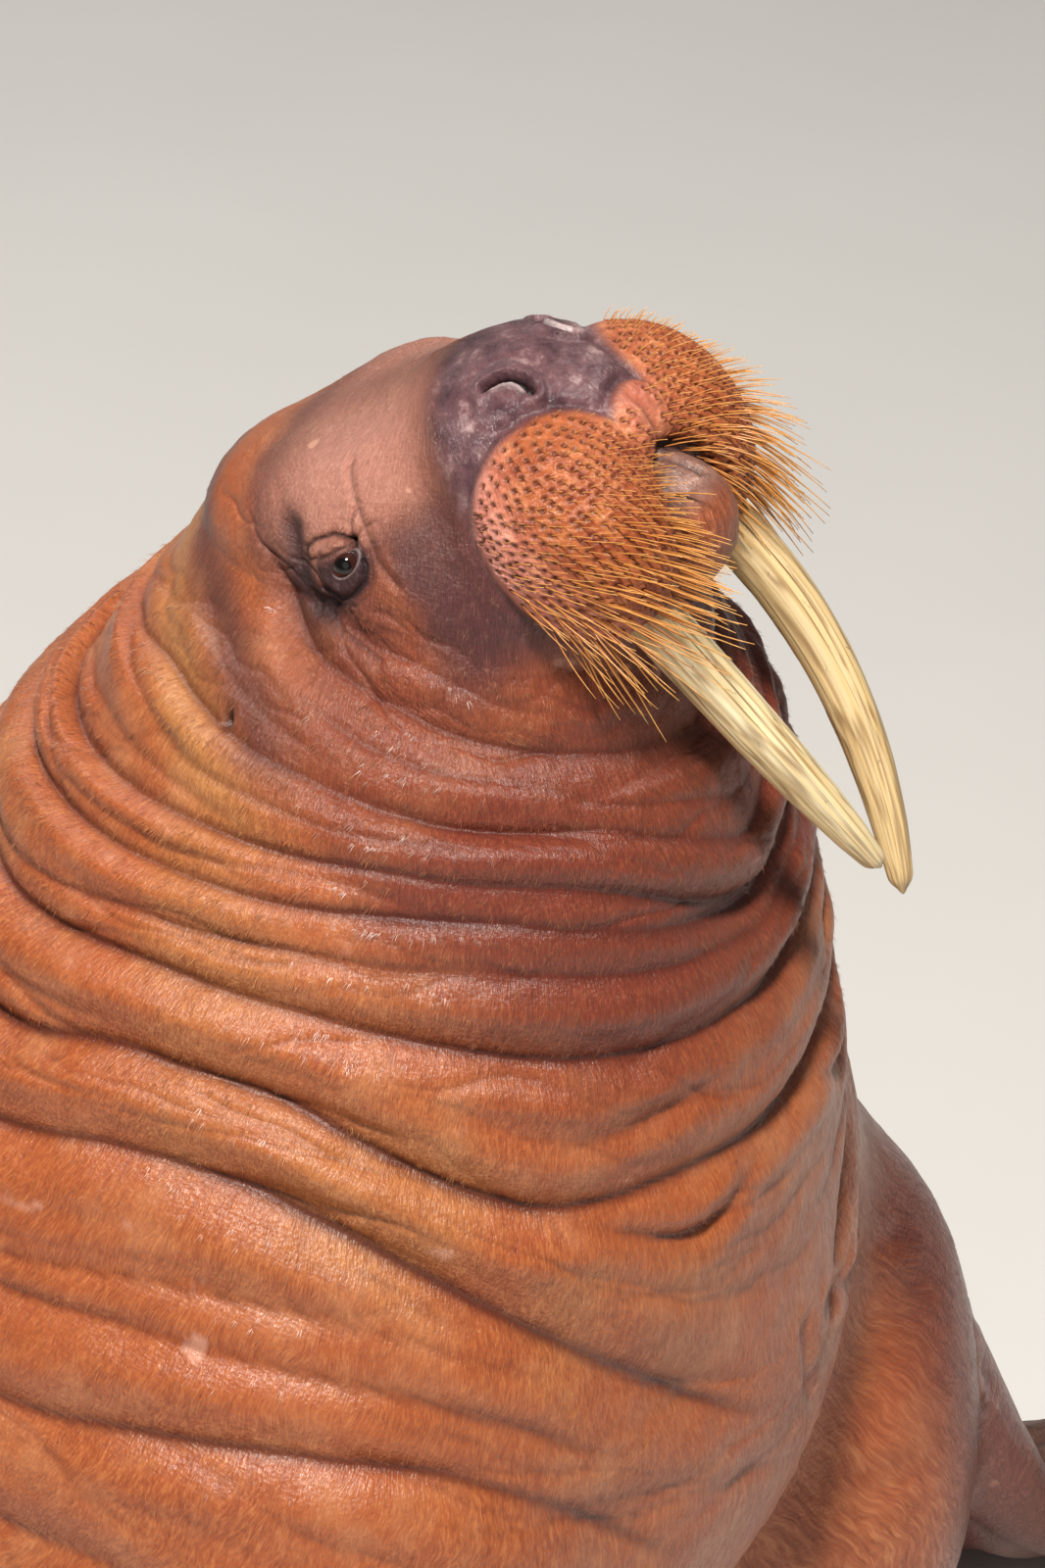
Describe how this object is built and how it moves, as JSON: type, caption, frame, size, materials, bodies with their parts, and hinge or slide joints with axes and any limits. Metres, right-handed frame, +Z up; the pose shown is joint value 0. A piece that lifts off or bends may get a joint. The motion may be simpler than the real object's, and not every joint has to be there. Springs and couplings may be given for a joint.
{
  "type": "walrus",
  "caption": "Adult walrus model, sitting up on its foreflippers with the head raised, with tusks, whisker pads, folded neck and flippers flat on the floor.",
  "frame": {"origin": "on the floor under the middle of the whole outline", "axes": "+Z up, the animal faces -Y, +X to its own left"},
  "size_m": [1.5136, 2.3549, 1.4126],
  "materials": {
    "hide": "short-haired, folded skin, satin",
    "muzzle": "pitted skin with bristles, satin",
    "eye": "wet, high gloss",
    "ivory": "worn ivory, satin",
    "flipper": "bare rough skin, matt"
  },
  "bodies": {
    "root": {"head": "hide", "lower_jaw": "muzzle", "whisker_pad_left": "muzzle", "whisker_pad_right": "muzzle", "eye_left": "eye", "eye_right": "eye", "tusk_left": "ivory", "tusk_right": "ivory", "neck": "hide", "chest": "hide", "belly": "hide", "rump": "hide", "tail": "hide", "foreflipper_left": "flipper", "foreflipper_right": "flipper", "hind_flipper_left": "flipper", "hind_flipper_right": "flipper"}
  },
  "joints": []
}
